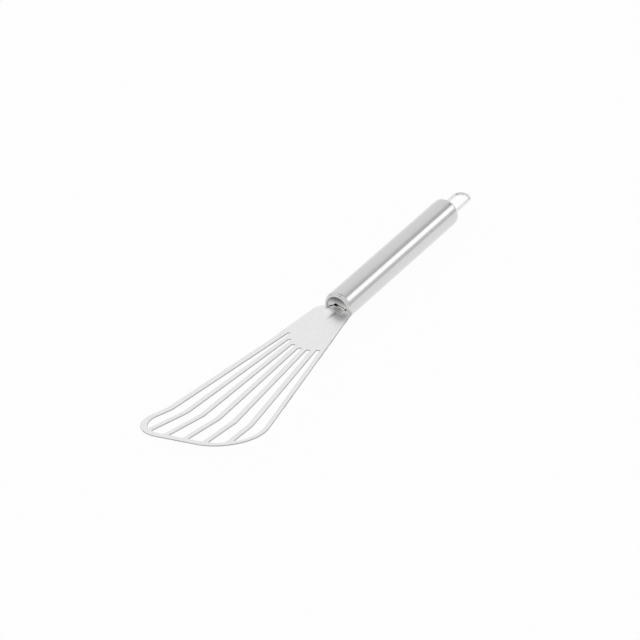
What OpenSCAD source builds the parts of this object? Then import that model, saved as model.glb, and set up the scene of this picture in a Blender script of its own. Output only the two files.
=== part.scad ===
// Slotted fish turner, all stainless steel, lying on a table as it comes to rest.
// The tool is drawn along Y: the handle's mouth is at y = 0, the handle runs towards +Y
// and the blade towards -Y. Left means -X and right means +X. The module lie_down() then
// lays the tool on the plane z = 0.

/* [Handle] */
// Outer diameter of the handle tube
handle_d = 19; // [17:0.5:24]
// Length of the handle tube from its mouth to its closed end
handle_len = 130.5; // [100:0.5:170]
// Wall of the handle tube
handle_wall = 1; // [0.5:0.1:1.2]
// Radius of the rounded edge at the closed end
end_round = 2.6; // [1.5:0.1:4]
// Length of the drawn-in nose at the mouth
nose_len = 2.2; // [1.8:0.1:3]
// Diameter of the opening at the mouth
mouth_d = 14.2; // [12:0.1:15]
// Radius of the rolled lip around the opening
lip_r = 0.85; // [0.5:0.05:1]
// How far the lip stands out of the nose
lip_proud = 0.7; // [0.4:0.05:0.8]

/* [Hanging loop] */
// Diameter of the loop's wire
wire_d = 2; // [1.5:0.1:2.6]
// Distance between the centres of the loop's two legs
leg_gap = 10.6; // [8.5:0.1:12]
// How far the loop stands out of the closed end
loop_out = 24.5; // [16:0.5:35]
// Turn of the loop about the handle's axis, against the blade
loop_turn = -9; // [-20:1:20]
// Play of the wire in its hole
wire_clearance = 0.1; // [0.05:0.05:0.2]

/* [End disc] */
// Thickness of the disc that closes the mouth
disc_t = 1; // [0.6:0.1:1.5]
// How far the disc lies behind the mouth
disc_recess = 1; // [0.8:0.1:1.2]
// Depth of the dish pressed into the disc
dish_depth = 0.45; // [0.2:0.05:0.6]
// Play of the disc in the mouth
disc_clearance = 0.05; // [0.02:0.01:0.15]
// Open gap above the tang in the disc's slot
slit_gap = 0.8; // [0.6:0.1:1.6]

/* [Blade] */
// Thickness of the blade's sheet
sheet_t = 0.8; // [0.6:0.05:1.2]
// Width of the fan at the handle's mouth
neck_w = 23.6; // [22:0.1:30]
// Width of the blade at the bend
bend_w = 72.5; // [60:0.5:90]
// How far the fan stands to the left of the handle's axis
fan_shift = 0.55; // [0:0.05:1.5]
// How much further out the left edge starts at the neck
neck_flare = 2.1; // [0:0.1:3]
// Distance from the mouth to the place where that flare has run out
flare_end = 46; // [20:1:60]
// Distance from the mouth to the bend
bend_at = 129.4; // [110:0.1:150]
// Inside radius of the bend
bend_r = 12; // [6:0.5:20]
// Angle by which the tip is bent up
tip_up = 10; // [5:0.5:18]
// Length of the bent-up tip on the middle line, seen from above
tip_len = 35.7; // [30:0.1:40]
// Slant of the tip's edge, with the left side longer
tip_slant = 1.6; // [0:0.1:5]
// Radius of the tip's left corner
left_corner_r = 21; // [15:0.5:25]
// Radius of the tip's right corner
right_corner_r = 27; // [18:0.5:29]
// Radius of the left shoulder, beside the handle's nose
left_shoulder_r = 7; // [3:0.5:8]
// Radius of the right shoulder
right_shoulder_r = 3; // [1:0.5:5]
// How far the left shoulder reaches back beside the handle
left_shoulder_back = 3; // [1:0.1:5]
// How far the right shoulder reaches back beside the handle
right_shoulder_back = 0.2; // [0:0.1:4]
// Play between the blade and the handle's nose
nose_clearance = 0.1; // [0.05:0.05:0.2]
// Depth of the sheet's upper face below the handle's axis at the mouth
sheet_drop = 1; // [0.5:0.1:1.6]
// Fall of the blade away from the handle's axis
blade_pitch = 0.9; // [0:0.1:2]

/* [Slots] */
// Number of slots in the blade
slot_count = 6; // [4:1:7]
// Width of the bars between the slots
bar_w = 3.6; // [3:0.1:5]
// Width of the closed rim around the slots' outer ends
rim_w = 4.1; // [3.5:0.1:8]
// Radius in the corners of each slot
slot_corner_r = 0.9; // [0.5:0.05:1]
// Distance from the mouth to the deepest point of the line of slot roots
root_at = 46.7; // [42:0.1:55]
// Place of that deepest point across the blade
root_x = 7.5; // [-2:0.5:9]
// Rise of the root line at the blade's left edge
root_rise = 20.5; // [10:0.5:22]

/* [Tang and rib] */
// Width of the tang inside the handle
tang_w = 10.6; // [9.5:0.1:11.4]
// Length of the tang inside the handle
tang_len = 26; // [15:1:60]
// Radius of the tang's ends
tang_corner_r = 2.5; // [1:0.5:4]
// Height of the rib pressed into the tang and the neck
rib_h = 1.3; // [0.8:0.1:1.6]
// Radius of the rib's back
rib_r = 8.5; // [7:0.1:10]
// Where the rib starts to fall, in front of the mouth
rib_level = 5.2; // [2:0.1:6]
// Length over which the rib runs out into the blade
rib_fall = 7.2; // [5:0.1:12]
// Play of the tang in the disc's slot
tang_clearance = 0.1; // [0.05:0.05:0.2]

/* [Hidden] */
$fn = 96;
steel_satin = [0.74, 0.74, 0.74];
steel_polished = [0.84, 0.84, 0.84];
far = 200;

// Handle: the nose is an arc from the full radius in to the lip, behind the lip's front.
handle_r = handle_d / 2;
mouth_r = mouth_d / 2;
nose_drop = handle_r - mouth_r - lip_r;
nose_r = (pow(nose_len - lip_proud, 2) + nose_drop * nose_drop) / (2 * nose_drop);
nose_centre = handle_r - nose_r;

// Hanging loop
wire_r = wire_d / 2;
leg_x = leg_gap / 2;
arch_y = handle_len + loop_out - wire_r - leg_x;
foot_y = handle_len - handle_wall - wire_r - wire_clearance;
foot_bend_r = 1.25 * wire_r;
foot_len = 0.25 * wire_d;

// End disc
disc_r = mouth_r - disc_clearance;
dish_r = (pow(disc_r, 2) + pow(dish_depth, 2)) / (2 * dish_depth);
dish_fn = 1440;

// Blade outline, drawn flat: v is the distance from the mouth, along the sheet.
edge_slope = (bend_w - neck_w) / 2 / bend_at;
edge_angle = atan(edge_slope);
function edge_x(v) = neck_w / 2 + edge_slope * v;
tip_v = bend_at + tip_len;
slant_slope = tan(tip_slant);
function tip_edge_v(x, inset) = tip_v - inset / cos(tip_slant) - slant_slope * x;

// Centre of a corner's arc, tangent to one side edge and to the tip's edge.
// side is -1 on the left and 1 on the right.
function corner_v(r, side) =
    (tip_v - r / cos(tip_slant) - slant_slope * side * (neck_w / 2 - r / cos(edge_angle)))
    / (1 + slant_slope * side * edge_slope);
function corner_x(r, side) = side * (edge_x(corner_v(r, side)) - r / cos(edge_angle));

// Corner between one side edge and the tip's edge, before it is rounded.
function tip_corner_v(side, side_inset, tip_inset) =
    (tip_edge_v(0, tip_inset) - slant_slope * side * (neck_w / 2 - side_inset))
    / (1 + slant_slope * side * edge_slope);

// Bars fan out with even spaces between the two side edges. Slots are numbered from the
// middle, so that their middle lines are whole or half steps of the pitch.
slot_first = -(slot_count - 1) / 2;
function pitch(v) = (2 * edge_x(v) - bar_w / cos(edge_angle)) / slot_count;
function slot_edge_x(k, side, v) = (k + side / 2) * pitch(v) - side * bar_w / 2;
root_span = root_x + edge_x(root_at);
function slot_root_v(k) = root_at - root_rise * pow((k * pitch(root_at) - root_x) / root_span, 2);

// An outline with each corner p[i] rounded by the radius r[i]: the arc starts where it
// touches the side that leads to the corner, and turns as the outline does.
function unit(a) = a / norm(a);
function corner_arc(a, b, c, r) =
    let (u = unit(a - b), w = unit(c - b),
         half = acos(u * w) / 2,
         middle = b + unit(u + w) * r / sin(half),
         touch = b + u * r / tan(half) - middle,
         start = atan2(touch[1], touch[0]),
         sweep = sign(u[1] * w[0] - u[0] * w[1]) * (180 - 2 * half),
         steps = max(4, ceil(abs(sweep) / 6)))
    r < 0.01 ? [b] : [for (i = [0 : steps])
        let (turn = start + sweep * i / steps)
        middle + r * [cos(turn), sin(turn)]];
function rounded(p, r) =
    let (n = len(p))
    [for (i = [0 : n - 1]) each corner_arc(p[(i + n - 1) % n], p[i], p[(i + 1) % n], r[i])];

// The tip's bend, seen from the side: two arcs about one centre.
bend_lead = bend_r * tan(tip_up / 2);
bend_steps = 6;
function bend_arc(r) = [for (i = [0 : bend_steps])
    let (a = tip_up * i / bend_steps)
    [-(bend_at - bend_lead) - r * sin(a), bend_r - r * cos(a)]];
tip_run = 2 * tip_len;
tip_dir = [-cos(tip_up), sin(tip_up)];

// Rib: its back is turned about an axis below the sheet, and its front runs out in a curve
// that ends a little under the sheet's upper face.
rib_axis_z = rib_h - rib_r;
rib_sink = 0.3;
rib_steps = 10;
function rib_back(r) = concat(
    [[0, -tang_len - 1], [r, -tang_len - 1]],
    [for (i = [0 : rib_steps])
        let (s = i / rib_steps)
        [r - (rib_h + rib_sink) * (1 - cos(90 * s)), rib_level + rib_fall * s]],
    [[0, rib_level + rib_fall]]);

// The lie of the tool: it rests on the handle and on the blade's lowest point, on the left
// edge a quarter of the way round the bend, so it is rolled about the handle's axis until
// that point is down.
low_turn = tip_up / 4;
low_at = bend_at - bend_lead + (bend_r + sheet_t) * sin(low_turn);
low_reach = edge_x(low_at) + fan_shift;
low_depth = sheet_drop + low_at * sin(blade_pitch) + sheet_t
    - (bend_r + sheet_t) * (1 - cos(low_turn));
roll = asin(handle_r / norm([low_reach, low_depth])) - atan(low_depth / low_reach);

// Middle of the object in plan, so that the origin lies under the middle of its box.
left_x = corner_x(left_corner_r, -1) - left_corner_r - fan_shift;
right_x = corner_x(right_corner_r, 1) + right_corner_r - fan_shift;
left_lift = (corner_v(left_corner_r, -1) - bend_at) * sin(tip_up) - low_depth;
right_lift = (corner_v(right_corner_r, 1) - bend_at) * sin(tip_up) - low_depth + sheet_t;
middle_x = ((left_x + right_x) * cos(roll) - (left_lift + right_lift) * sin(roll)) / 2;
tip_reach = corner_v(left_corner_r, -1) + left_corner_r;
tip_y = -tip_reach * cos(blade_pitch) - (tip_reach - bend_at) * tan(tip_up) * sin(blade_pitch);
middle_y = (handle_len + loop_out + tip_y) / 2;

module lie_down() {
    translate([-middle_x, -middle_y, handle_r]) rotate([0, -roll, 0]) children();
}

// Turns a profile of (radius, distance along the axis) about the Y axis.
module turned_along_y() {
    rotate([-90, 0, 0]) rotate_extrude() children();
}

// Half section of the handle, grown by a given amount all round.
module handle_section(grow) {
    r = handle_r + grow;
    e = end_round + grow;
    translate([0, nose_len]) square([r, handle_len + grow - e - nose_len]);
    translate([0, -grow]) square([mouth_r, nose_len + grow]);
    square([r - e, handle_len + grow]);
    translate([r - e, handle_len + grow - e]) circle(e);
    intersection() {
        translate([nose_centre, nose_len]) circle(nose_r + grow);
        translate([0, -grow]) square([r, nose_len + 2 * grow]);
    }
}

// Rolled lip at the mouth, grown like the section.
module lip_section(grow) {
    translate([mouth_r + lip_r, lip_r]) circle(lip_r + grow);
}

module handle_tube() {
    color(steel_satin) lie_down() difference() {
        turned_along_y() {
            difference() {
                handle_section(0);
                handle_section(-handle_wall);
                translate([0, -1]) square([mouth_r, nose_len + 1]);
            }
            lip_section(0);
        }
        rotate([0, -loop_turn, 0]) for (side = [-1, 1])
            translate([side * leg_x, handle_len - end_round, 0]) rotate([-90, 0, 0])
                cylinder(r = wire_r + wire_clearance, h = end_round + 1);
    }
}

// One leg of the loop: a foot turned out behind the end wall, a bend and a straight run.
module loop_leg() {
    translate([leg_x, foot_y + foot_bend_r, 0]) rotate([-90, 0, 0])
        cylinder(r = wire_r, h = arch_y - foot_y - foot_bend_r);
    translate([leg_x + foot_bend_r, foot_y + foot_bend_r, 0]) intersection() {
        rotate_extrude() translate([foot_bend_r, 0]) circle(wire_r);
        translate([-far, -far, -far]) cube([far, far, 2 * far]);
    }
    translate([leg_x + foot_bend_r, foot_y, 0]) rotate([0, 90, 0])
        cylinder(r = wire_r, h = foot_len);
}

module hanging_loop() {
    color(steel_polished) lie_down() rotate([0, -loop_turn, 0]) {
        loop_leg();
        mirror([1, 0, 0]) loop_leg();
        translate([0, arch_y, 0]) intersection() {
            rotate_extrude() translate([leg_x, 0]) circle(wire_r);
            translate([-far, 0, -far]) cube([2 * far, far, 2 * far]);
        }
    }
}

// Opening in the disc: the tang's section with its play, and a gap above its rounded back.
module disc_slot() {
    half_w = tang_w / 2 + tang_clearance;
    bottom = sheet_t + tang_clearance + tang_len * sin(blade_pitch);
    translate([0, far / 2, -sheet_drop]) rotate([90, 0, 0]) linear_extrude(far) intersection() {
        translate([-half_w, -bottom]) square([2 * half_w, far]);
        translate([0, rib_axis_z]) circle(rib_r + slit_gap);
    }
}

module end_disc() {
    color(steel_satin) lie_down() difference() {
        turned_along_y() translate([0, disc_recess]) difference() {
            square([disc_r, disc_t]);
            translate([0, dish_depth - dish_r]) circle(dish_r, $fn = dish_fn);
        }
        disc_slot();
    }
}

// The flat blank's outline in front of the handle.
module blank_outline() {
    left_v = tip_corner_v(-1, 0, 0);
    right_v = tip_corner_v(1, 0, 0);
    translate([-fan_shift, 0]) polygon(rounded(
        [[-neck_w / 2 - neck_flare, left_shoulder_back],
         [-edge_x(flare_end), -flare_end],
         [-edge_x(left_v), -left_v],
         [edge_x(right_v), -right_v],
         [neck_w / 2, right_shoulder_back]],
        [left_shoulder_r, 0, left_corner_r, right_corner_r, right_shoulder_r]));
}

// The fan in which the slots lie, even about the handle's axis: as far from the sides as a
// bar is wide and as far from the tip as the rim is.
module slots_limit() {
    in_x = bar_w / cos(edge_angle);
    left_v = tip_corner_v(-1, in_x, rim_w);
    right_v = tip_corner_v(1, in_x, rim_w);
    polygon(rounded(
        [[in_x - neck_w / 2, 0],
         [in_x - edge_x(left_v), -left_v],
         [edge_x(right_v) - in_x, -right_v],
         [neck_w / 2 - in_x, 0]],
        [0, left_corner_r - rim_w, right_corner_r - rim_w, 0]));
}

module tang_outline() {
    polygon(rounded(
        [[-tang_w / 2, tang_len], [-tang_w / 2, -rib_level],
         [tang_w / 2, -rib_level], [tang_w / 2, tang_len]],
        [tang_corner_r, 0, 0, tang_corner_r]));
}

// Space between two bars, from the slot's root to well past the tip.
module slot_gap(k) {
    root = slot_root_v(k);
    polygon([
        for (end = [root, tip_v + tip_len], side = (end == root) ? [-1, 1] : [1, -1])
            [slot_edge_x(k, side, end), -end]]);
}

module slots_outline() {
    offset(r = slot_corner_r, $fn = 32) offset(delta = -slot_corner_r) intersection() {
        slots_limit();
        for (i = [0 : slot_count - 1]) slot_gap(slot_first + i);
    }
}

// The sheet from the side, thick as the blade and wide enough for it.
module bent_sheet() {
    rotate([90, 0, 90]) translate([0, 0, -far / 2]) linear_extrude(far) polygon(concat(
        [[tang_len + 1, 0]],
        bend_arc(bend_r),
        [bend_arc(bend_r)[bend_steps] + tip_run * tip_dir],
        [bend_arc(bend_r + sheet_t)[bend_steps] + tip_run * tip_dir],
        [for (i = [bend_steps : -1 : 0]) bend_arc(bend_r + sheet_t)[i]],
        [[tang_len + 1, -sheet_t]]));
}

// The rib's back, turned about its own axis under the sheet.
module rib_body(r) {
    translate([0, 0, rib_axis_z]) rotate([90, 0, 0]) rotate_extrude() polygon(rib_back(r));
}

module upright(height) {
    translate([0, 0, -height / 2]) linear_extrude(height) children();
}

module blade() {
    color(steel_satin) lie_down() translate([0, 0, -sheet_drop]) rotate([blade_pitch, 0, 0])
        difference() {
            union() {
                difference() {
                    intersection() {
                        bent_sheet();
                        upright(far) blank_outline();
                    }
                    rotate([-blade_pitch, 0, 0]) translate([0, 0, sheet_drop])
                        turned_along_y() {
                            handle_section(nose_clearance);
                            lip_section(nose_clearance);
                        }
                }
                intersection() {
                    bent_sheet();
                    upright(far) tang_outline();
                }
                intersection() {
                    rib_body(rib_r);
                    translate([-tang_w / 2, -rib_level - rib_fall - 1, -sheet_t / 2])
                        cube([tang_w, tang_len + rib_level + rib_fall + 1, rib_h + sheet_t]);
                }
            }
            rib_body(rib_r - sheet_t);
            upright(far) slots_outline();
        }
}

handle_tube();
hanging_loop();
end_disc();
blade();
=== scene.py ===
"""A slotted fish turner of stainless steel, lying on a white table.

The tool is worked out lying straight, in its own frame: y = 0 is the handle's mouth, the
handle runs towards +y, the blade towards -y, and left is -x. lay_down() then rolls it on the
handle until the blade's lowest corner is on the table, as the frame's own pieces lie.
"""

import bpy
import numpy as np
from mathutils import Euler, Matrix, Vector
from mathutils.geometry import delaunay_2d_cdt


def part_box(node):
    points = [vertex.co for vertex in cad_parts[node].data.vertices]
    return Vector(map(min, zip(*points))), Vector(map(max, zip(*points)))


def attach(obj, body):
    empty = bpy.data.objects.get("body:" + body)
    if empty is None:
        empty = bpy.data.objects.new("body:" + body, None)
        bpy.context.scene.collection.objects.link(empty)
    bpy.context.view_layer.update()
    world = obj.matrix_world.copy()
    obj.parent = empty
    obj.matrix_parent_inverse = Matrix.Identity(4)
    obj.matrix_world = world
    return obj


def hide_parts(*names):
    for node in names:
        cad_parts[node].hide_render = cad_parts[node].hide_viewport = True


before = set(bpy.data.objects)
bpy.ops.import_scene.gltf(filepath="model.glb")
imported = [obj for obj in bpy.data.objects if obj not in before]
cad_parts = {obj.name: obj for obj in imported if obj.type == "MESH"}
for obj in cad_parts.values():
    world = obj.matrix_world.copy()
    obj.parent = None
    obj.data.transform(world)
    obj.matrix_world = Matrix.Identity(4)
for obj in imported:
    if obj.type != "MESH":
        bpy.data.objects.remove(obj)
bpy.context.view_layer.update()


# Camera. It looks from the right of the blade's tip and from a third of the way up, far off
# with a long lens, so the tool runs up and away to the right.

camera_aim = Vector((-0.000595, -0.011036, 0.0095))
camera_distance = 1.86531
camera_azimuth = 33.429
camera_elevation = 33.553
camera_roll = -1.484
camera_lens = 173.85
camera_sensor = 36
camera_clip = 20

turn = np.radians([90 - camera_elevation, 0, camera_azimuth])
camera_turn = Euler(turn).to_matrix()
camera_data = bpy.data.cameras.new("camera")
camera_data.lens = camera_lens
camera_data.sensor_width = camera_sensor
camera_data.clip_end = camera_clip
camera = bpy.data.objects.new("camera", camera_data)
camera.rotation_euler = (
    camera_turn @ Euler((0, 0, np.radians(camera_roll))).to_matrix()
).to_euler()
camera.location = camera_aim + camera_turn @ Vector((0, 0, camera_distance))
bpy.context.scene.collection.objects.link(camera)
bpy.context.scene.camera = camera
bpy.context.scene.view_settings.view_transform = "Standard"


# Table and studio. The table is a white sheet that runs out to a white horizon. The light
# comes from the world: a grey room with soft screens round the table, bright and dark.

table_half = 6.0
table_white = (0.9, 0.9, 0.9, 1)
table_glow = 1.0
glow_share = 0.96
horizon_white = 1.0


def plain_mesh(name, points, faces):
    """A mesh object at the origin with the given points and faces, without a material."""
    mesh = bpy.data.meshes.new(name)
    mesh.from_pydata(np.asarray(points).tolist(), [], [list(map(int, f)) for f in faces])
    mesh.validate()
    piece = bpy.data.objects.new(name, mesh)
    bpy.context.scene.collection.objects.link(piece)
    return piece


def node_material(name):
    """An empty node material, its nodes, its links and its output node."""
    material = bpy.data.materials.new(name)
    material.use_nodes = True
    nodes = material.node_tree.nodes
    nodes.clear()
    return material, nodes, material.node_tree.links, nodes.new("ShaderNodeOutputMaterial")


def seen_rays(nodes, links):
    """1 for rays from the camera, and for those that a mirror or a glass sends on."""
    path = nodes.new("ShaderNodeLightPath")
    either = nodes.new("ShaderNodeMath")
    either.operation = "MAXIMUM"
    links.new(path.outputs["Is Camera Ray"], either.inputs[0])
    links.new(path.outputs["Is Glossy Ray"], either.inputs[1])
    all_three = nodes.new("ShaderNodeMath")
    all_three.operation = "MAXIMUM"
    links.new(either.outputs[0], all_three.inputs[0])
    links.new(path.outputs["Is Transmission Ray"], all_three.inputs[1])
    return all_three.outputs[0]


def table_finish():
    """Matt white, with its shadow softened where it is seen."""
    material, nodes, links, output = node_material("table_white")
    paper = nodes.new("ShaderNodeBsdfDiffuse")
    paper.inputs["Color"].default_value = table_white
    glow = nodes.new("ShaderNodeEmission")
    glow.inputs["Strength"].default_value = table_glow
    share = nodes.new("ShaderNodeMath")
    share.operation = "MULTIPLY"
    share.inputs[1].default_value = glow_share
    links.new(seen_rays(nodes, links), share.inputs[0])
    mix = nodes.new("ShaderNodeMixShader")
    links.new(share.outputs[0], mix.inputs[0])
    links.new(paper.outputs[0], mix.inputs[1])
    links.new(glow.outputs[0], mix.inputs[2])
    links.new(mix.outputs[0], output.inputs["Surface"])
    return material


side = table_half
table = plain_mesh(
    "table",
    [(-side, -side, 0), (side, -side, 0), (side, side, 0), (-side, side, 0)],
    [(0, 1, 2, 3)],
)
table.data.materials.append(table_finish())

room_grey = 0.72
screens = [
    # direction that the screen stands in, the angle from it to the screen's edge, how soft
    # that edge is, and how bright the screen is
    ((-0.60, 0.75, 0.28), 48, 14, 1.12),
    ((0.00, -0.80, 0.60), 62, 16, 1.15),
    ((-0.15, 0.30, 0.94), 19, 4, 0.2),
    ((0.155, 0.86, 0.49), 10, 3, 0.38),
    ((0.53, 0.715, 0.455), 12, 1.5, 1.95),
    ((0.67, 0.71, 0.20), 7, 2, 0.92),
]


def studio_world():
    """Grey room with bright and dark screens, each a soft spot round its own direction, and
    pure white where the camera sees past the table."""
    world = bpy.data.worlds.new("studio")
    world.use_nodes = True
    bpy.context.scene.world = world
    nodes, links = world.node_tree.nodes, world.node_tree.links
    nodes.clear()
    way = nodes.new("ShaderNodeTexCoord").outputs["Generated"]
    light = None
    for direction, end, softness, brightness in screens:
        dot = nodes.new("ShaderNodeVectorMath")
        dot.operation = "DOT_PRODUCT"
        dot.inputs[1].default_value = Vector(direction).normalized()
        links.new(way, dot.inputs[0])
        edge = nodes.new("ShaderNodeMapRange")
        edge.interpolation_type = "SMOOTHSTEP"
        edge.inputs["From Min"].default_value = np.cos(np.radians(end + softness))
        edge.inputs["From Max"].default_value = np.cos(np.radians(end - softness))
        links.new(dot.outputs["Value"], edge.inputs["Value"])
        mix = nodes.new("ShaderNodeMix")
        mix.inputs["A"].default_value = room_grey
        mix.inputs["B"].default_value = brightness
        links.new(edge.outputs["Result"], mix.inputs["Factor"])
        if light:
            links.new(light, mix.inputs["A"])
        light = mix.outputs["Result"]
    lit = nodes.new("ShaderNodeBackground")
    links.new(light, lit.inputs["Strength"])
    white = nodes.new("ShaderNodeBackground")
    white.inputs["Strength"].default_value = horizon_white
    path = nodes.new("ShaderNodeLightPath")
    choose = nodes.new("ShaderNodeMixShader")
    links.new(path.outputs["Is Camera Ray"], choose.inputs[0])
    links.new(lit.outputs[0], choose.inputs[1])
    links.new(white.outputs[0], choose.inputs[2])
    output = nodes.new("ShaderNodeOutputWorld")
    links.new(choose.outputs[0], output.inputs["Surface"])


studio_world()


# Blade. One stamping of 0.8 mm stainless sheet: a fan with six slots, a closed rim, a tip bent
# up across it, and a tang that goes into the handle. A round-backed rib is pressed up along
# the tang and the neck. Its sheared edges are tumbled, and its faces keep a fine satin grain.

mm = 0.001
sheet_thickness = 0.8 * mm
edge_round = 0.14 * mm
neck_width = 23.6 * mm
bend_width = 72.5 * mm
fan_shift = 0.55 * mm
neck_flare = 2.1 * mm
flare_end = 46 * mm
bend_at = 129.4 * mm
bend_radius = 12 * mm
tip_up = np.radians(10)
tip_length = 35.7 * mm
tip_slant = np.radians(1.6)
left_corner_radius = 21 * mm
right_corner_radius = 27 * mm
left_shoulder_radius = 7 * mm
right_shoulder_radius = 3 * mm
left_shoulder_back = 3 * mm
right_shoulder_back = 0.2 * mm
sheet_drop = 1 * mm
blade_pitch = np.radians(0.9)
slot_count = 6
bar_width = 3.6 * mm
rim_width = 4.1 * mm
slot_corner_radius = 0.9 * mm
slot_corner_space = 1.6 * slot_corner_radius
corner_turn = np.radians(25)
slot_end_points = 33
slot_end_halvings = 30
corner_reading = 5
root_at = 46.7 * mm
root_x = 7.5 * mm
root_rise = 20.5 * mm
tang_width = 10.6 * mm
tang_length = 26 * mm
tang_corner_radius = 2.5 * mm
rib_height = 2 * mm
rib_radius = 9.3 * mm
rib_middle = -1 * mm
rib_run = 16 * mm
rib_foot = 0.3 * mm
rib_end_drop = 2 * mm
rib_half = 6 * mm
nose_length = 2.2 * mm
mouth_radius = 7.1 * mm
lip_radius = 0.85 * mm
lip_proud = 0.7 * mm
nose_clearance = 0.1 * mm
outline_step = 0.8 * mm
rib_step = 0.45 * mm
sheet_step = 3.5 * mm
bend_step = 0.35 * mm
normal_step = 0.02 * mm
edge_rings = 4
same_point = 1e-8
point_limit = 10**6

handle_low, handle_high = map(np.array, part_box("handle_tube"))
handle_radius = (handle_high[2] - handle_low[2]) / 2
handle_axis = np.array([(handle_low[0] + handle_high[0]) / 2, handle_low[1], handle_radius])
bend_reach = bend_width / 2 + fan_shift
under_radius = bend_radius + sheet_thickness
low_turn = tip_up / 4
low_at = bend_at - bend_radius * np.tan(tip_up / 2) + under_radius * np.sin(low_turn)
low_reach = neck_width / 2 + (bend_width - neck_width) / 2 * low_at / bend_at + fan_shift
low_depth = sheet_drop + low_at * np.sin(blade_pitch) + sheet_thickness
low_depth -= under_radius * (1 - np.cos(low_turn))
lean = np.arctan(low_depth / low_reach)
roll = np.arcsin(handle_radius / np.hypot(low_reach, low_depth)) - lean
nose_drop = handle_radius - mouth_radius - lip_radius
nose_arc = ((nose_length - lip_proud) ** 2 + nose_drop**2) / (2 * nose_drop)
nose_middle = handle_radius - nose_arc


def turned(points, angle, axis):
    """Points (..., 3) turned by an angle about the x or the y axis, counter-clockwise as seen
    from that axis's far end."""
    c, s = np.cos(angle), np.sin(angle)
    about_x = [[1, 0, 0], [0, c, -s], [0, s, c]]
    about_y = [[c, 0, s], [0, 1, 0], [-s, 0, c]]
    return points @ np.array(about_x if axis == "x" else about_y).T


def lay_down(points, normals):
    """From the tool's own frame to the table: rolled about the handle's axis, then moved."""
    return turned(points, -roll, "y") + handle_axis, turned(normals, -roll, "y")


def subdivided(loop, step):
    """A closed outline with points added evenly on each side that is longer than a step."""
    along = np.roll(loop, -1, 0) - loop
    count = np.maximum(np.ceil(np.linalg.norm(along, axis=1) / step), 1).astype(int)
    corner = np.repeat(np.arange(len(loop)), count)
    share = (np.arange(count.sum()) - np.repeat(np.cumsum(count) - count, count)) / count[corner]
    return loop[corner] + share[:, None] * along[corner]


def rounded(corners, radii, step):
    """A closed outline whose corners are arcs that touch both sides. An arc's point at share k
    is the middle plus a mix of its first and last radius, weighted by sin((1-k)a) and sin(ka)."""
    corners = np.array(corners, float)
    loop = []
    for before, corner, after, radius in zip(
        np.roll(corners, 1, 0), corners, np.roll(corners, -1, 0), radii
    ):
        if radius == 0:
            loop.append(corner[None])
            continue
        back = (before - corner) / np.linalg.norm(before - corner)
        on = (after - corner) / np.linalg.norm(after - corner)
        half = np.arccos(back @ on) / 2
        middle = corner + (back + on) / np.linalg.norm(back + on) * radius / np.sin(half)
        first = corner + back * radius / np.tan(half) - middle
        last = corner + on * radius / np.tan(half) - middle
        sweep = np.pi - 2 * half
        k = np.linspace(0, 1, max(4, int(radius * sweep / step) + 2))[:, None]
        mixed = first * np.sin((1 - k) * sweep) + last * np.sin(k * sweep)
        loop.append(middle + mixed / np.sin(sweep))
    return subdivided(np.concatenate(loop), step)


edge_slope = (bend_width - neck_width) / 2 / bend_at
edge_lean = 1 / np.cos(np.arctan(edge_slope))
tip_at = bend_at + tip_length


def fan_half(v):
    """Half width of the fan at the distance v in front of the mouth: it grows evenly."""
    return neck_width / 2 + edge_slope * v


def fan_outline(step):
    """The fan's outline: its left side starts further out at the neck, the tip's edge falls by
    the slant towards +x, and the tip's corners and the two shoulders are arcs."""
    slant = np.tan(tip_slant)
    side = np.array([-1, 1])
    v = (tip_at - slant * side * neck_width / 2) / (1 + slant * side * edge_slope)
    x = side * fan_half(v)
    corners = [
        (-neck_width / 2 - neck_flare, left_shoulder_back),
        (-fan_half(flare_end), -flare_end),
        (x[0], -v[0]),
        (x[1], -v[1]),
        (neck_width / 2, right_shoulder_back),
    ]
    radii = (
        left_shoulder_radius,
        0,
        left_corner_radius,
        right_corner_radius,
        right_shoulder_radius,
    )
    return rounded(corners, radii, step) - [fan_shift, 0]


def bar_pitch(v):
    """Spacing of the bars' middle lines: what is left between the outer bars, shared evenly."""
    return (2 * fan_half(v) - bar_width * edge_lean) / slot_count


def rim_corner(side, radius, side_inset, tip_inset):
    """Middle (x, v) of the arc that touches the moved-in side and the moved-in tip."""
    slant, neck = np.tan(tip_slant), neck_width / 2 - (side_inset + radius) * edge_lean
    tip = tip_at - (tip_inset + radius) / np.cos(tip_slant)
    v = (tip - slant * side * neck) / (1 + slant * side * edge_slope)
    return side * (neck + edge_slope * v), v


def inside_rim(x, v):
    """Whether points lie inside the line round all the slots: short of the tip's line and,
    in the sector that a corner's arc spans, within its radius of the arc's middle."""
    inside = v < tip_at - rim_width / np.cos(tip_slant) - np.tan(tip_slant) * x
    lean = np.arctan(edge_slope)
    for side, radius in ((-1, left_corner_radius - rim_width), (1, right_corner_radius - rim_width)):
        middle_x, middle_v = rim_corner(side, radius, bar_width, rim_width)
        out, up, slant = side * (x - middle_x), v - middle_v, side * tip_slant
        past_side = np.cos(lean) * up + np.sin(lean) * out > 0
        past_tip = np.cos(slant) * out - np.sin(slant) * up > 0
        inside &= ~(past_side & past_tip) | (np.hypot(out, up) < radius)
    return inside


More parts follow.
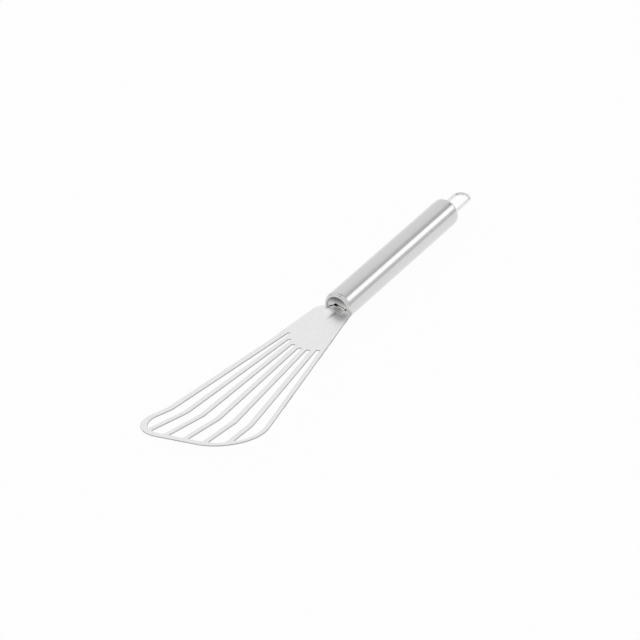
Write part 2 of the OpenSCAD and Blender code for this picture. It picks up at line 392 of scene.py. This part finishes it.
def slot_outline(place, step):
    """The space between two bars. place counts from the middle slot, in whole pitches. Its far
    end is found across the slot, share by share, by halving the stretch that holds the rim.
    An end that turns sharply into its side, as read over a few of its points, gets an arc, and
    the points near it are left out."""
    span = root_x + fan_half(root_at)
    root_v = root_at - root_rise * ((place * bar_pitch(root_at) - root_x) / span) ** 2

    def across(share, v):
        """Place across the tool at a share of the slot's width, at the distance v."""
        return (place + share - 0.5) * bar_pitch(v) + (0.5 - share) * bar_width

    share = (1 + np.cos(np.linspace(0, np.pi, slot_end_points))) / 2
    low, high = np.full_like(share, root_v), np.full_like(share, tip_at)
    for _ in range(slot_end_halvings):
        middle = (low + high) / 2
        inside = inside_rim(across(share, middle), middle)
        low, high = np.where(inside, middle, low), np.where(inside, high, middle)
    far = np.stack([across(share, low), -low], -1)
    radii = np.zeros(len(far))
    for end, root_share in ((0, 1), (-1, 0)):
        root = np.array([across(root_share, root_v), -root_v])
        away = np.linalg.norm(far - far[end], axis=1)
        along = far[-corner_reading if end else corner_reading - 1] - far[end]
        side = far[end] - root
        turning = np.arccos(along @ side / np.linalg.norm(along) / np.linalg.norm(side))
        if turning > corner_turn:
            keep = (away > slot_corner_space) | (away == 0)
            far, radii = far[keep], radii[keep]
            radii[end] = slot_corner_radius
    corners = [(across(0, root_v), -root_v), (across(1, root_v), -root_v)] + far.tolist()
    return rounded(corners, [slot_corner_radius] * 2 + radii.tolist(), step)


def nose_outline(height, step):
    """Outline of the handle's nose, cut level at a height and grown by the clearance: the half
    width at y is the root of the nose's radius squared less the height squared. It reaches
    back past the left shoulder."""
    y = np.arange(-nose_clearance, 2 * left_shoulder_back, step)
    across = np.sqrt(np.maximum(nose_radius(y) + nose_clearance, abs(height)) ** 2 - height**2)
    return np.concatenate([np.stack([across, y], -1), np.stack([-across, y], -1)[::-1]])


def nose_radius(y):
    """Radius of the handle's nose at y: an arc that ends level with the tube, with the lip's
    own radius where that stands further out."""
    rise = nose_length - np.clip(y, 0, nose_length)
    arc = nose_middle + np.sqrt(np.maximum(nose_arc**2 - rise**2, 0))
    bead = np.clip(y, 0, 2 * lip_radius) - lip_radius
    lip = mouth_radius + lip_radius + np.sqrt(lip_radius**2 - bead**2)
    return np.maximum(arc, lip)


def bend_height(y, radius):
    """Height of a face of the bent sheet: level, then an arc about the bend's middle, then
    straight up at the tip's angle."""
    past = -y - bend_at + bend_radius * np.tan(tip_up / 2)
    arc_end = radius * np.sin(tip_up)
    on_arc = bend_radius - np.sqrt(radius**2 - np.clip(past, 0, arc_end) ** 2)
    return on_arc + np.maximum(past - arc_end, 0) * np.tan(tip_up)


def soft_max(a, b, reach):
    """The larger of two heights, with a fillet where they lie within reach of each other: the
    square of what is left of the reach, over four times the reach, is added."""
    near = np.maximum(reach - np.abs(a - b), 0)
    return np.maximum(a, b) + near**2 / (4 * reach)


def face_height(x, y, side):
    """Height of the blade's upper (side 1) or lower (side -1) face over the flat sheet: the
    bent sheet, and the rib's round back, which sinks evenly from the mouth to its point and
    is dropped out of reach in front of it."""
    under = 0 if side > 0 else sheet_thickness
    sheet = bend_height(y, bend_radius + under)
    sunk = (rib_height + rib_foot) * np.clip(-y / rib_run, 0, 1)
    radius = rib_radius - under
    off = np.minimum(np.abs(x - rib_middle), radius)
    rib = rib_height - rib_radius - sunk + np.sqrt(radius**2 - off**2)
    return soft_max(sheet, rib - rib_end_drop * (y < -rib_run), rib_foot)


def face_normal(x, y, side):
    """Unit normals of a face, from the height's slopes along x and y."""
    h = normal_step
    slope_x = (face_height(x + h, y, side) - face_height(x - h, y, side)) / (2 * h)
    slope_y = (face_height(x, y + h, side) - face_height(x, y - h, side)) / (2 * h)
    normal = np.stack([-slope_x, -slope_y, np.ones_like(x)], -1) * side
    return normal / np.linalg.norm(normal, axis=1, keepdims=True)


def within(points, loop):
    """Whether each point lies inside a closed outline: the turns that the outline makes about
    an inner point add up to a whole one, and about an outer point to none."""
    start = loop[None] - points[:, None]
    end = np.roll(loop, -1, 0)[None] - points[:, None]
    cross = start[..., 0] * end[..., 1] - start[..., 1] * end[..., 0]
    turns = np.arctan2(cross, (start * end).sum(-1)).sum(-1)
    return np.abs(turns) > np.pi


def plate(loops, inner_points, keeps):
    """Triangles that fill a plate between its outlines, counter-clockwise from above.
    keeps(points) says which of their middles lie on the plate."""
    points = np.concatenate(loops + [inner_points])
    count = [len(loop) for loop in loops]
    first = np.cumsum([0] + count[:-1])
    edges = np.concatenate([
        np.stack([np.arange(n), np.roll(np.arange(n), -1)], -1) + f for n, f in zip(count, first)
    ])
    found = delaunay_2d_cdt(list(map(Vector, points)), edges.tolist(), [], 0, same_point)
    points = np.array([tuple(p) for p in found[0]])
    triangles = np.array(found[2])
    triangles = triangles[keeps(points[triangles].mean(1))]
    a, b, c = points[triangles].transpose(1, 0, 2)
    clockwise = (b - a)[:, 0] * (c - a)[:, 1] - (b - a)[:, 1] * (c - a)[:, 0] < 0
    triangles[clockwise] = triangles[clockwise][:, ::-1]
    used, triangles = np.unique(triangles, return_inverse=True)
    return points[used], triangles.reshape(-1, 3)


def open_edges(triangles):
    """The triangles' edges that belong to one triangle only, in that triangle's direction.
    Each edge is compared as one number made of its two ends."""
    edges = np.concatenate([triangles[:, [0, 1]], triangles[:, [1, 2]], triangles[:, [2, 0]]])
    first, last = edges.T
    twice = np.isin(first * point_limit + last, last * point_limit + first)
    return edges[~twice]


def sheet_surface(points, triangles):
    """A closed sheet over the plate: its upper face, its lower face, and a round edge carried
    along every outline. A ring of the edge lies in from the outline by r(1 - sin a) and under
    the face by r(1 - cos a)."""
    edges = open_edges(triangles)
    count = len(points)
    along = points[edges[:, 1]] - points[edges[:, 0]]
    along /= np.linalg.norm(along, axis=1, keepdims=True)
    out = np.zeros((count, 2))
    np.add.at(out, edges.ravel(), np.repeat(np.stack([along[:, 1], -along[:, 0]], -1), 2, 0))
    length = np.linalg.norm(out, axis=1, keepdims=True)
    out = np.divide(out, length, out=np.zeros_like(out), where=length > 0)
    on_edge = np.unique(edges)
    ring_of = np.zeros(count, int)
    ring_of[on_edge] = np.arange(len(on_edge))
    flat_out = np.pad(out, ((0, 0), (0, 1)))
    shifted = points - out * edge_round
    places, normals, faces = [], [], []
    for side in (1, -1):
        z = face_height(shifted[:, 0], shifted[:, 1], side)
        places.append(np.column_stack([shifted, z]))
        normals.append(face_normal(shifted[:, 0], shifted[:, 1], side))
        offset = 0 if side > 0 else count
        faces.append((triangles if side > 0 else triangles[:, ::-1]) + offset)
    angles = np.linspace(0, np.pi / 2, edge_rings + 1)[1:]
    rings = [on_edge]
    start = 2 * count
    for side, steps in ((1, angles), (-1, angles[::-1])):
        for angle in steps:
            base = points[on_edge] - out[on_edge] * edge_round * (1 - np.sin(angle))
            z = face_height(base[:, 0], base[:, 1], side) - side * edge_round * (1 - np.cos(angle))
            places.append(np.column_stack([base, z]))
            normal = normals[0 if side > 0 else 1][on_edge] * np.cos(angle)
            normals.append(normal + flat_out[on_edge] * np.sin(angle))
            rings.append(start + np.arange(len(on_edge)))
            start += len(on_edge)
    rings.append(count + on_edge)
    for upper, lower in zip(rings, rings[1:]):
        a, b = ring_of[edges[:, 0]], ring_of[edges[:, 1]]
        faces.append(np.stack([upper[a], lower[a], lower[b], upper[b]], -1))
    return np.concatenate(places), np.concatenate(normals), faces


def smooth_mesh(name, points, normals, faces):
    """A smooth-shaded piece on the table from points and normals in the tool's own frame."""
    points, normals = lay_down(points, normals)
    lists = [f for group in faces for f in group.tolist()]
    piece = plain_mesh(name, points, lists)
    piece.data.shade_smooth()
    if len(piece.data.vertices) == len(normals):
        piece.data.normals_split_custom_set_from_vertices(normals.tolist())
    return piece


noise_range = (0.3, 0.7)
noise_detail = 3
rough_range = (0.82, 1.18)
tone_range = (0.975, 1.025)


def grain(nodes, links, size):
    """Noise over the object's own coordinates, with grains of the given size in x, y and z."""
    place = nodes.new("ShaderNodeTexCoord").outputs["Object"]
    stretch = nodes.new("ShaderNodeMapping")
    stretch.inputs["Scale"].default_value = [1 / length for length in size]
    links.new(place, stretch.inputs["Vector"])
    noise = nodes.new("ShaderNodeTexNoise")
    noise.inputs["Scale"].default_value = 1
    noise.inputs["Detail"].default_value = noise_detail
    links.new(stretch.outputs[0], noise.inputs["Vector"])
    return noise.outputs[0]


def spread(nodes, links, value, low, high):
    """A noise's usual range brought to the range from low to high."""
    change = nodes.new("ShaderNodeMapRange")
    change.inputs["From Min"].default_value = noise_range[0]
    change.inputs["From Max"].default_value = noise_range[1]
    change.inputs["To Min"].default_value = low
    change.inputs["To Max"].default_value = high
    links.new(value, change.inputs["Value"])
    return change.outputs["Result"]


def ground_steel(name, tone, roughness, fine, coarse, depth):
    """Steel with a grain: the fine grain changes its roughness and its height, and the coarse
    grain changes its tone and adds a waviness of twice the depth. The node that holds the
    tone is named tone."""
    material, nodes, links, output = node_material(name)
    shader = nodes.new("ShaderNodeBsdfPrincipled")
    shader.inputs["Metallic"].default_value = 1
    streaks = grain(nodes, links, fine)
    clouds = grain(nodes, links, coarse)
    rough = spread(nodes, links, streaks, roughness * rough_range[0], roughness * rough_range[1])
    links.new(rough, shader.inputs["Roughness"])
    shade = nodes.new("ShaderNodeVectorMath")
    shade.name = "tone"
    shade.operation = "SCALE"
    shade.inputs[0].default_value = tone
    links.new(spread(nodes, links, clouds, *tone_range), shade.inputs["Scale"])
    links.new(shade.outputs[0], shader.inputs["Base Color"])
    waves = nodes.new("ShaderNodeBump")
    waves.inputs["Distance"].default_value = depth * 2
    links.new(clouds, waves.inputs["Height"])
    lines = nodes.new("ShaderNodeBump")
    lines.inputs["Distance"].default_value = depth
    links.new(streaks, lines.inputs["Height"])
    links.new(waves.outputs[0], lines.inputs["Normal"])
    links.new(lines.outputs[0], shader.inputs["Normal"])
    links.new(shader.outputs[0], output.inputs["Surface"])
    return material


fan = fan_outline(outline_step)
half_tang = tang_width / 2
tang_root = 5 * mm
tang = rounded(
    [
        (-half_tang, tang_length),
        (-half_tang, -tang_root),
        (half_tang, -tang_root),
        (half_tang, tang_length),
    ],
    [tang_corner_radius, 0, 0, tang_corner_radius],
    outline_step,
)
nose = nose_outline(sheet_drop + sheet_thickness / 2, outline_step / 2)
middle_slot = (slot_count - 1) / 2
slots = [slot_outline(k - middle_slot, outline_step) for k in range(slot_count)]


def grid(low, high, step):
    """Points of an even grid between two corners."""
    x = np.arange(low[0], high[0], step[0])
    y = np.arange(low[1], high[1], step[1])
    return np.stack(np.meshgrid(x, y), -1).reshape(-1, 2)


def on_blade(points):
    """On the fan in front of the nose, or on the tang, but in no slot."""
    kept = within(points, fan) & ~within(points, nose) | within(points, tang)
    for slot in slots:
        kept &= ~within(points, slot)
    return kept


bend_zone = bend_radius * np.sin(tip_up)
inner = np.concatenate([
    grid(
        (rib_middle - rib_half, -rib_run - mm),
        (rib_middle + rib_half, tang_length),
        (rib_step, rib_step),
    ),
    grid(
        (-bend_reach, -bend_at - bend_zone),
        (bend_reach, -bend_at + bend_zone),
        (sheet_step, bend_step),
    ),
    grid((-bend_reach, -tip_at), (bend_reach, 0), (sheet_step, sheet_step)),
])
inner = inner[on_blade(inner)]
plate_points, plate_triangles = plate([fan, tang, nose] + slots, inner, on_blade)
points, normals, faces = sheet_surface(plate_points, plate_triangles)
points = turned(points, blade_pitch, "x") - [0, 0, sheet_drop]
normals = turned(normals, blade_pitch, "x")
blade = smooth_mesh("blade_sheet", points, normals, faces)
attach(blade, "root")
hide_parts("blade")

blade.data.materials.append(ground_steel(
    "blade_satin",
    tone=(0.91, 0.91, 0.91),
    roughness=0.3,
    fine=(0.15 * mm, 4 * mm, 0.15 * mm),
    coarse=(1 * mm, 15 * mm, 1 * mm),
    depth=0.001 * mm,
))
# The edge faces are rougher sheared steel. Their darker grey tone is painted shade on the sheet's
# edges, which face away from the light.
blade.data.materials.append(ground_steel(
    "sheared_edge_painted_shade",
    tone=(0.52, 0.52, 0.52),
    roughness=0.5,
    fine=(0.1 * mm, 0.1 * mm, 0.8 * mm),
    coarse=(2 * mm, 2 * mm, 2 * mm),
    depth=0.002 * mm,
))
# The faces of the round edge take the second material, the one with the painted shade.
face_count = 2 * len(plate_triangles)
on_edge = np.arange(len(blade.data.polygons)) >= face_count
blade.data.polygons.foreach_set("material_index", on_edge.astype(np.int32))


# Handle. A drawn tube of 1 mm stainless, closed at its far end and drawn in to a nose with a
# rolled lip at its mouth. It is ground to a satin, with the lines running round the tube.

handle_length = 130.5 * mm
handle_wall = 1 * mm
end_round = 2.6 * mm
leg_gap = 10.6 * mm
loop_turn = np.radians(-9)
wire_radius = 1 * mm
wire_clearance = 0.1 * mm
round_sides = 288
wall_rings = 40
hole_sides = 36


def arc(middle, radius, start, stop, steps):
    """Points of an arc in a plane, from one angle to another in degrees: each is the middle
    plus the radius times the angle's cosine and sine."""
    angle = np.radians(np.linspace(start, stop, steps))
    return np.stack([middle[0] + radius * np.cos(angle), middle[1] + radius * np.sin(angle)], -1)


def round_outline(middle, radius, sides):
    """A full circle as a closed outline, which stops one side short of where it starts."""
    return arc(middle, radius, 0, 360 - 360 / sides, sides)


def meeting(middle_a, radius_a, middle_b, radius_b, side):
    """Where two circles cross, on the given side of the line between their middles. It lies
    along that line, of length d, by d squared plus radius a squared less radius b squared, all
    over 2 d, and then square to the line as far as radius a reaches."""
    across = np.subtract(middle_b, middle_a)
    d = np.hypot(*across)
    along = (d**2 + radius_a**2 - radius_b**2) / (2 * d)
    off = side * np.sqrt(radius_a**2 - along**2)
    return middle_a + across / d * along + np.array([-across[1], across[0]]) / d * off


def handle_profile():
    """The wall's section as (radius, y), from the end wall's outside, along the outside to the
    lip, and back along the inside: straight lines joined by arcs."""
    end_middle = (handle_radius - end_round, handle_length - end_round)
    nose_point = (nose_middle, nose_length)
    lip_middle = (mouth_radius + lip_radius, lip_radius)
    crossing = meeting(nose_point, nose_arc, lip_middle, lip_radius, 1)
    nose_end = np.degrees(np.arctan2(crossing[1] - nose_length, crossing[0] - nose_middle))
    lip_start = np.degrees(np.arctan2(crossing[1] - lip_middle[1], crossing[0] - lip_middle[0]))
    inner_arc = nose_arc - handle_wall
    straight = np.linspace(handle_length - end_round, nose_length, wall_rings)[1:-1]
    return np.concatenate([
        arc(end_middle, end_round, 90, 0, steps=14),
        np.stack([np.full_like(straight, handle_radius), straight], -1),
        arc(nose_point, nose_arc, 0, nose_end, steps=16),
        arc(lip_middle, lip_radius, lip_start, -180, steps=14),
        [(mouth_radius, nose_length)],
        arc(nose_point, inner_arc, -180, 0, steps=12),
        np.stack([np.full_like(straight, handle_radius - handle_wall), straight[::-1]], -1),
        arc(end_middle, end_round - handle_wall, 0, 90, steps=10),
    ])


def full_turn(sides):
    """Angles of a full turn in even steps, in radians."""
    return np.arange(sides) / sides * 2 * np.pi


def ring_faces(rings, sides):
    """Four-sided faces between rings of points, in a grid that is closed round the rings."""
    ring, spoke = np.meshgrid(np.arange(rings - 1), np.arange(sides), indexing="ij")
    after = (spoke + 1) % sides
    near, far = ring * sides, (ring + 1) * sides
    corners = [near + spoke, near + after, far + after, far + spoke]
    return np.stack(corners, -1).reshape(-1, 4)


def turned_wall(profile, sides):
    """Points and faces of a profile of (radius, y) turned about y: at an angle a its point is
    (r cos a, y, r sin a)."""
    angle = full_turn(sides)
    radius, y = profile.T
    points = np.stack([
        np.outer(radius, np.cos(angle)),
        np.outer(y, np.ones(sides)),
        np.outer(radius, np.sin(angle)),
    ], -1)
    return points.reshape(-1, 3), ring_faces(len(profile), sides)


profile = handle_profile()
points, faces = turned_wall(profile, round_sides)
walls = [points]
groups = [faces]
count = len(points)
end_radius = profile[0, 0]
end_angle = full_turn(round_sides)
end_circle = np.stack([np.cos(end_angle), np.sin(end_angle)], -1) * end_radius
leg_holes = []
for side in (-1, 1):
    out = side * leg_gap / 2
    middle = (out * np.cos(loop_turn), out * -np.sin(loop_turn))
    leg_holes.append(round_outline(middle, wire_radius + wire_clearance, hole_sides))


def on_end(points):
    """On the end wall, but in neither of its holes."""
    return within(points, end_circle) & ~within(points, leg_holes[0]) & ~within(points, leg_holes[1])


end_points, end_triangles = plate([end_circle] + leg_holes, np.zeros((0, 2)), on_end)
for y, way in ((handle_length, -1), (handle_length - handle_wall, 1)):
    walls.append(np.stack([end_points[:, 0], np.full(len(end_points), y), end_points[:, 1]], -1))
    groups.append(end_triangles[:, ::way] + count)
    count += len(end_points)
rim = open_edges(end_triangles)
near_circle = 0.99 * end_radius
hole_edge = np.linalg.norm(end_points[rim].mean(1), axis=1) < near_circle
a, b = (rim[hole_edge] + len(points)).T
groups.append(np.stack([a, a + len(end_points), b + len(end_points), b], -1))
handle = smooth_mesh("handle_shell", np.concatenate(walls), np.zeros((1, 3)), groups)
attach(handle, "root")
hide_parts("handle_tube")

handle.data.materials.append(ground_steel(
    "handle_satin",
    tone=(0.69, 0.69, 0.69),
    roughness=0.2,
    fine=(6 * mm, 0.18 * mm, 6 * mm),
    coarse=(20 * mm, 1.4 * mm, 20 * mm),
    depth=0.0006 * mm,
))


# Hanging loop. One length of 2 mm stainless wire, bent over a round former. Its two legs pass
# through the end wall and are turned out behind it. It is polished bright.

loop_out = 24.5 * mm
foot_bend = 1.25 * wire_radius
foot_length = 0.5 * mm
wire_sides = 28
wire_step = np.radians(6)
leg_rings = 30
cap_rings = 5
cap_turn_share = 0.98
cap_length_share = 0.3


def loop_path():
    """The wire's middle line: a foot, a quarter turn, a leg and half the arch, then the same
    mirrored. Straight stretches have points at their ends, arcs one every few degrees."""
    leg = leg_gap / 2
    foot_y = handle_length - handle_wall - wire_radius - wire_clearance
    arch_y = handle_length + loop_out - wire_radius - leg
    bend_middle = (leg + foot_bend, foot_y + foot_bend)
    straight = np.linspace(foot_y + foot_bend, arch_y, leg_rings)[1:-1]
    half = np.concatenate([
        [(leg + foot_bend + foot_length, foot_y)],
        arc(bend_middle, foot_bend, 270, 180, steps=12),
        np.stack([np.full_like(straight, leg), straight], -1),
        arc((0, arch_y), leg, 0, 90, steps=int(np.pi / 2 / wire_step) + 1),
    ])
    mirrored = half[:-1][::-1] * [-1, 1]
    return np.concatenate([half, mirrored])


def wire(path, radius, sides):
    """A round wire along a flat path: at each of its points a circle stands square to it, in
    the directions of the path's own normal and of z. Each end is rounded off by rings that
    shrink over the cap's length, and closed by the last of them."""
    along = np.gradient(path, axis=0)
    along /= np.linalg.norm(along, axis=1, keepdims=True)
    cap = np.linspace(0, np.pi / 2, cap_rings + 1)[1:] * cap_turn_share
    first = path[0] - along[0] * (radius * cap_length_share * np.sin(cap))[::-1, None]
    last = path[-1] + along[-1] * (radius * cap_length_share * np.sin(cap))[:, None]
    middle = np.concatenate([first, path, last])
    normal = np.stack([-along[:, 1], along[:, 0]], -1)
    start, end = np.repeat(normal[:1], cap_rings, 0), np.repeat(normal[-1:], cap_rings, 0)
    normal = np.concatenate([start, normal, end])
    size = radius * np.concatenate([np.cos(cap)[::-1], np.ones(len(path)), np.cos(cap)])
    angle = full_turn(sides)
    flat = middle[:, None] + normal[:, None] * (size[:, None] * np.cos(angle))[..., None]
    points = np.concatenate([flat, (size[:, None] * np.sin(angle))[..., None]], -1)
    ends = [np.arange(sides)[None], (len(middle) * sides - 1 - np.arange(sides))[None]]
    return points.reshape(-1, 3), [ring_faces(len(middle), sides)] + ends


points, groups = wire(loop_path(), wire_radius, wire_sides)
points = turned(points, -loop_turn, "y")
loop = smooth_mesh("wire_loop", points, np.zeros((1, 3)), groups)
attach(loop, "root")
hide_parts("hanging_loop")

loop.data.materials.append(ground_steel(
    "wire_bright",
    tone=(0.8, 0.8, 0.8),
    roughness=0.12,
    fine=(0.3 * mm, 3 * mm, 0.3 * mm),
    coarse=(3 * mm, 8 * mm, 3 * mm),
    depth=0.0004 * mm,
))


# End disc. A dished disc of 1 mm stainless set in the mouth, with a slit that the tang and its
# rib pass through. The slit is punched a little ragged, and the disc's top is painted darker as
# painted shade inside the mouth.

disc_front = 1 * mm
disc_back = 2 * mm
dish_depth = 0.45 * mm
disc_radius = 7.05 * mm
slit_half = 5.7 * mm
slit_low = -2.2 * mm
slit_gap = 0.35 * mm
slit_bells = [
    # where the gap over the sheet is wider: by how much, the place, and the bell's width
    (0.75 * mm, -6 * mm, 0.9 * mm),
    (1 * mm, -1.2 * mm, 1.3 * mm),
]
slit_step = 0.15 * mm
disc_step = 0.5 * mm
disc_sides = 120
disc_sharp = np.radians(40)
# The pale colour is the steel's own. The dark colour, and the heights over which it fades in, paint
# the shade that falls inside the mouth at the disc's top.
disc_pale = (0.80, 0.80, 0.79, 1)
disc_shade_colour = (0.22, 0.215, 0.21, 1)
shade_fade_low = 11 * mm
shade_fade_high = 14.5 * mm


def slit_top(x):
    """Height of the slit's upper edge: a gap over the rib's round back or over the flat sheet,
    and the gap is widened by two bell curves."""
    gap = slit_gap
    for height, place, width in slit_bells:
        gap = gap + height * np.exp(-(((x - place) / width) ** 2))
    top = rib_height - sheet_drop - rib_radius
    off = np.minimum(np.abs(x - rib_middle), rib_radius)
    return np.maximum(top + np.sqrt(rib_radius**2 - off**2), -sheet_drop) + gap


def disc_plate():
    """The disc seen from the front: a circle less the slit, as points (x, z) and triangles."""
    edge = round_outline((0, 0), disc_radius, disc_sides)
    x = np.arange(-slit_half, slit_half + slit_step / 2, slit_step)
    upper = np.stack([x, slit_top(x)], -1)
    lower = np.stack([x[::-1], np.full_like(x, slit_low)], -1)
    slit = np.concatenate([upper, lower])

    def on_disc(points):
        """On the disc, but not in its slit."""
        return within(points, edge) & ~within(points, slit)

    inner = grid((-disc_radius, -disc_radius), (disc_radius, disc_radius), (disc_step, disc_step))
    return plate([edge, slit], inner[on_disc(inner)], on_disc)


disc_points, disc_triangles = disc_plate()
count = len(disc_points)
share = np.sum(disc_points**2, axis=1) / disc_radius**2
front = disc_front + dish_depth * (1 - share)
layers = [
    np.column_stack([disc_points[:, 0], y, disc_points[:, 1]])
    for y in (front, np.full(count, disc_back))
]
a, b = open_edges(disc_triangles).T
walls = np.stack([a, b, b + count, a + count], -1)
disc = smooth_mesh(
    "dished_disc", np.concatenate(layers), np.zeros((1, 3)),
    [disc_triangles, disc_triangles[:, ::-1] + count, walls],
)
disc.data.set_sharp_from_angle(angle=disc_sharp)
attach(disc, "root")
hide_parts("end_disc")


def steel_with_painted_shade():
    """Steel with painted shade: dark above the slit and paler down the disc, in soft clouds. The
    dark top stands in for the shade inside the handle's mouth.
    """
    material = ground_steel(
        "disc_painted_shade",
        tone=disc_pale[:3],
        roughness=0.45,
        fine=(0.2 * mm, 0.2 * mm, 0.2 * mm),
        coarse=(2 * mm, 2 * mm, 2 * mm),
        depth=0.002 * mm,
    )
    nodes, links = material.node_tree.nodes, material.node_tree.links
    # The disc is painted darker towards its top: painted shade inside the mouth.
    height = nodes.new("ShaderNodeSeparateXYZ")
    links.new(nodes.new("ShaderNodeTexCoord").outputs["Object"], height.inputs[0])
    fade = nodes.new("ShaderNodeMapRange")
    fade.inputs["From Min"].default_value = shade_fade_low
    fade.inputs["From Max"].default_value = shade_fade_high
    links.new(height.outputs["Z"], fade.inputs["Value"])
    mix = nodes.new("ShaderNodeMix")
    mix.data_type = "RGBA"
    mix.inputs["A"].default_value = disc_pale
    mix.inputs["B"].default_value = disc_shade_colour
    links.new(fade.outputs["Result"], mix.inputs["Factor"])
    links.new(mix.outputs["Result"], nodes["tone"].inputs[0])
    return material


disc.data.materials.append(steel_with_painted_shade())
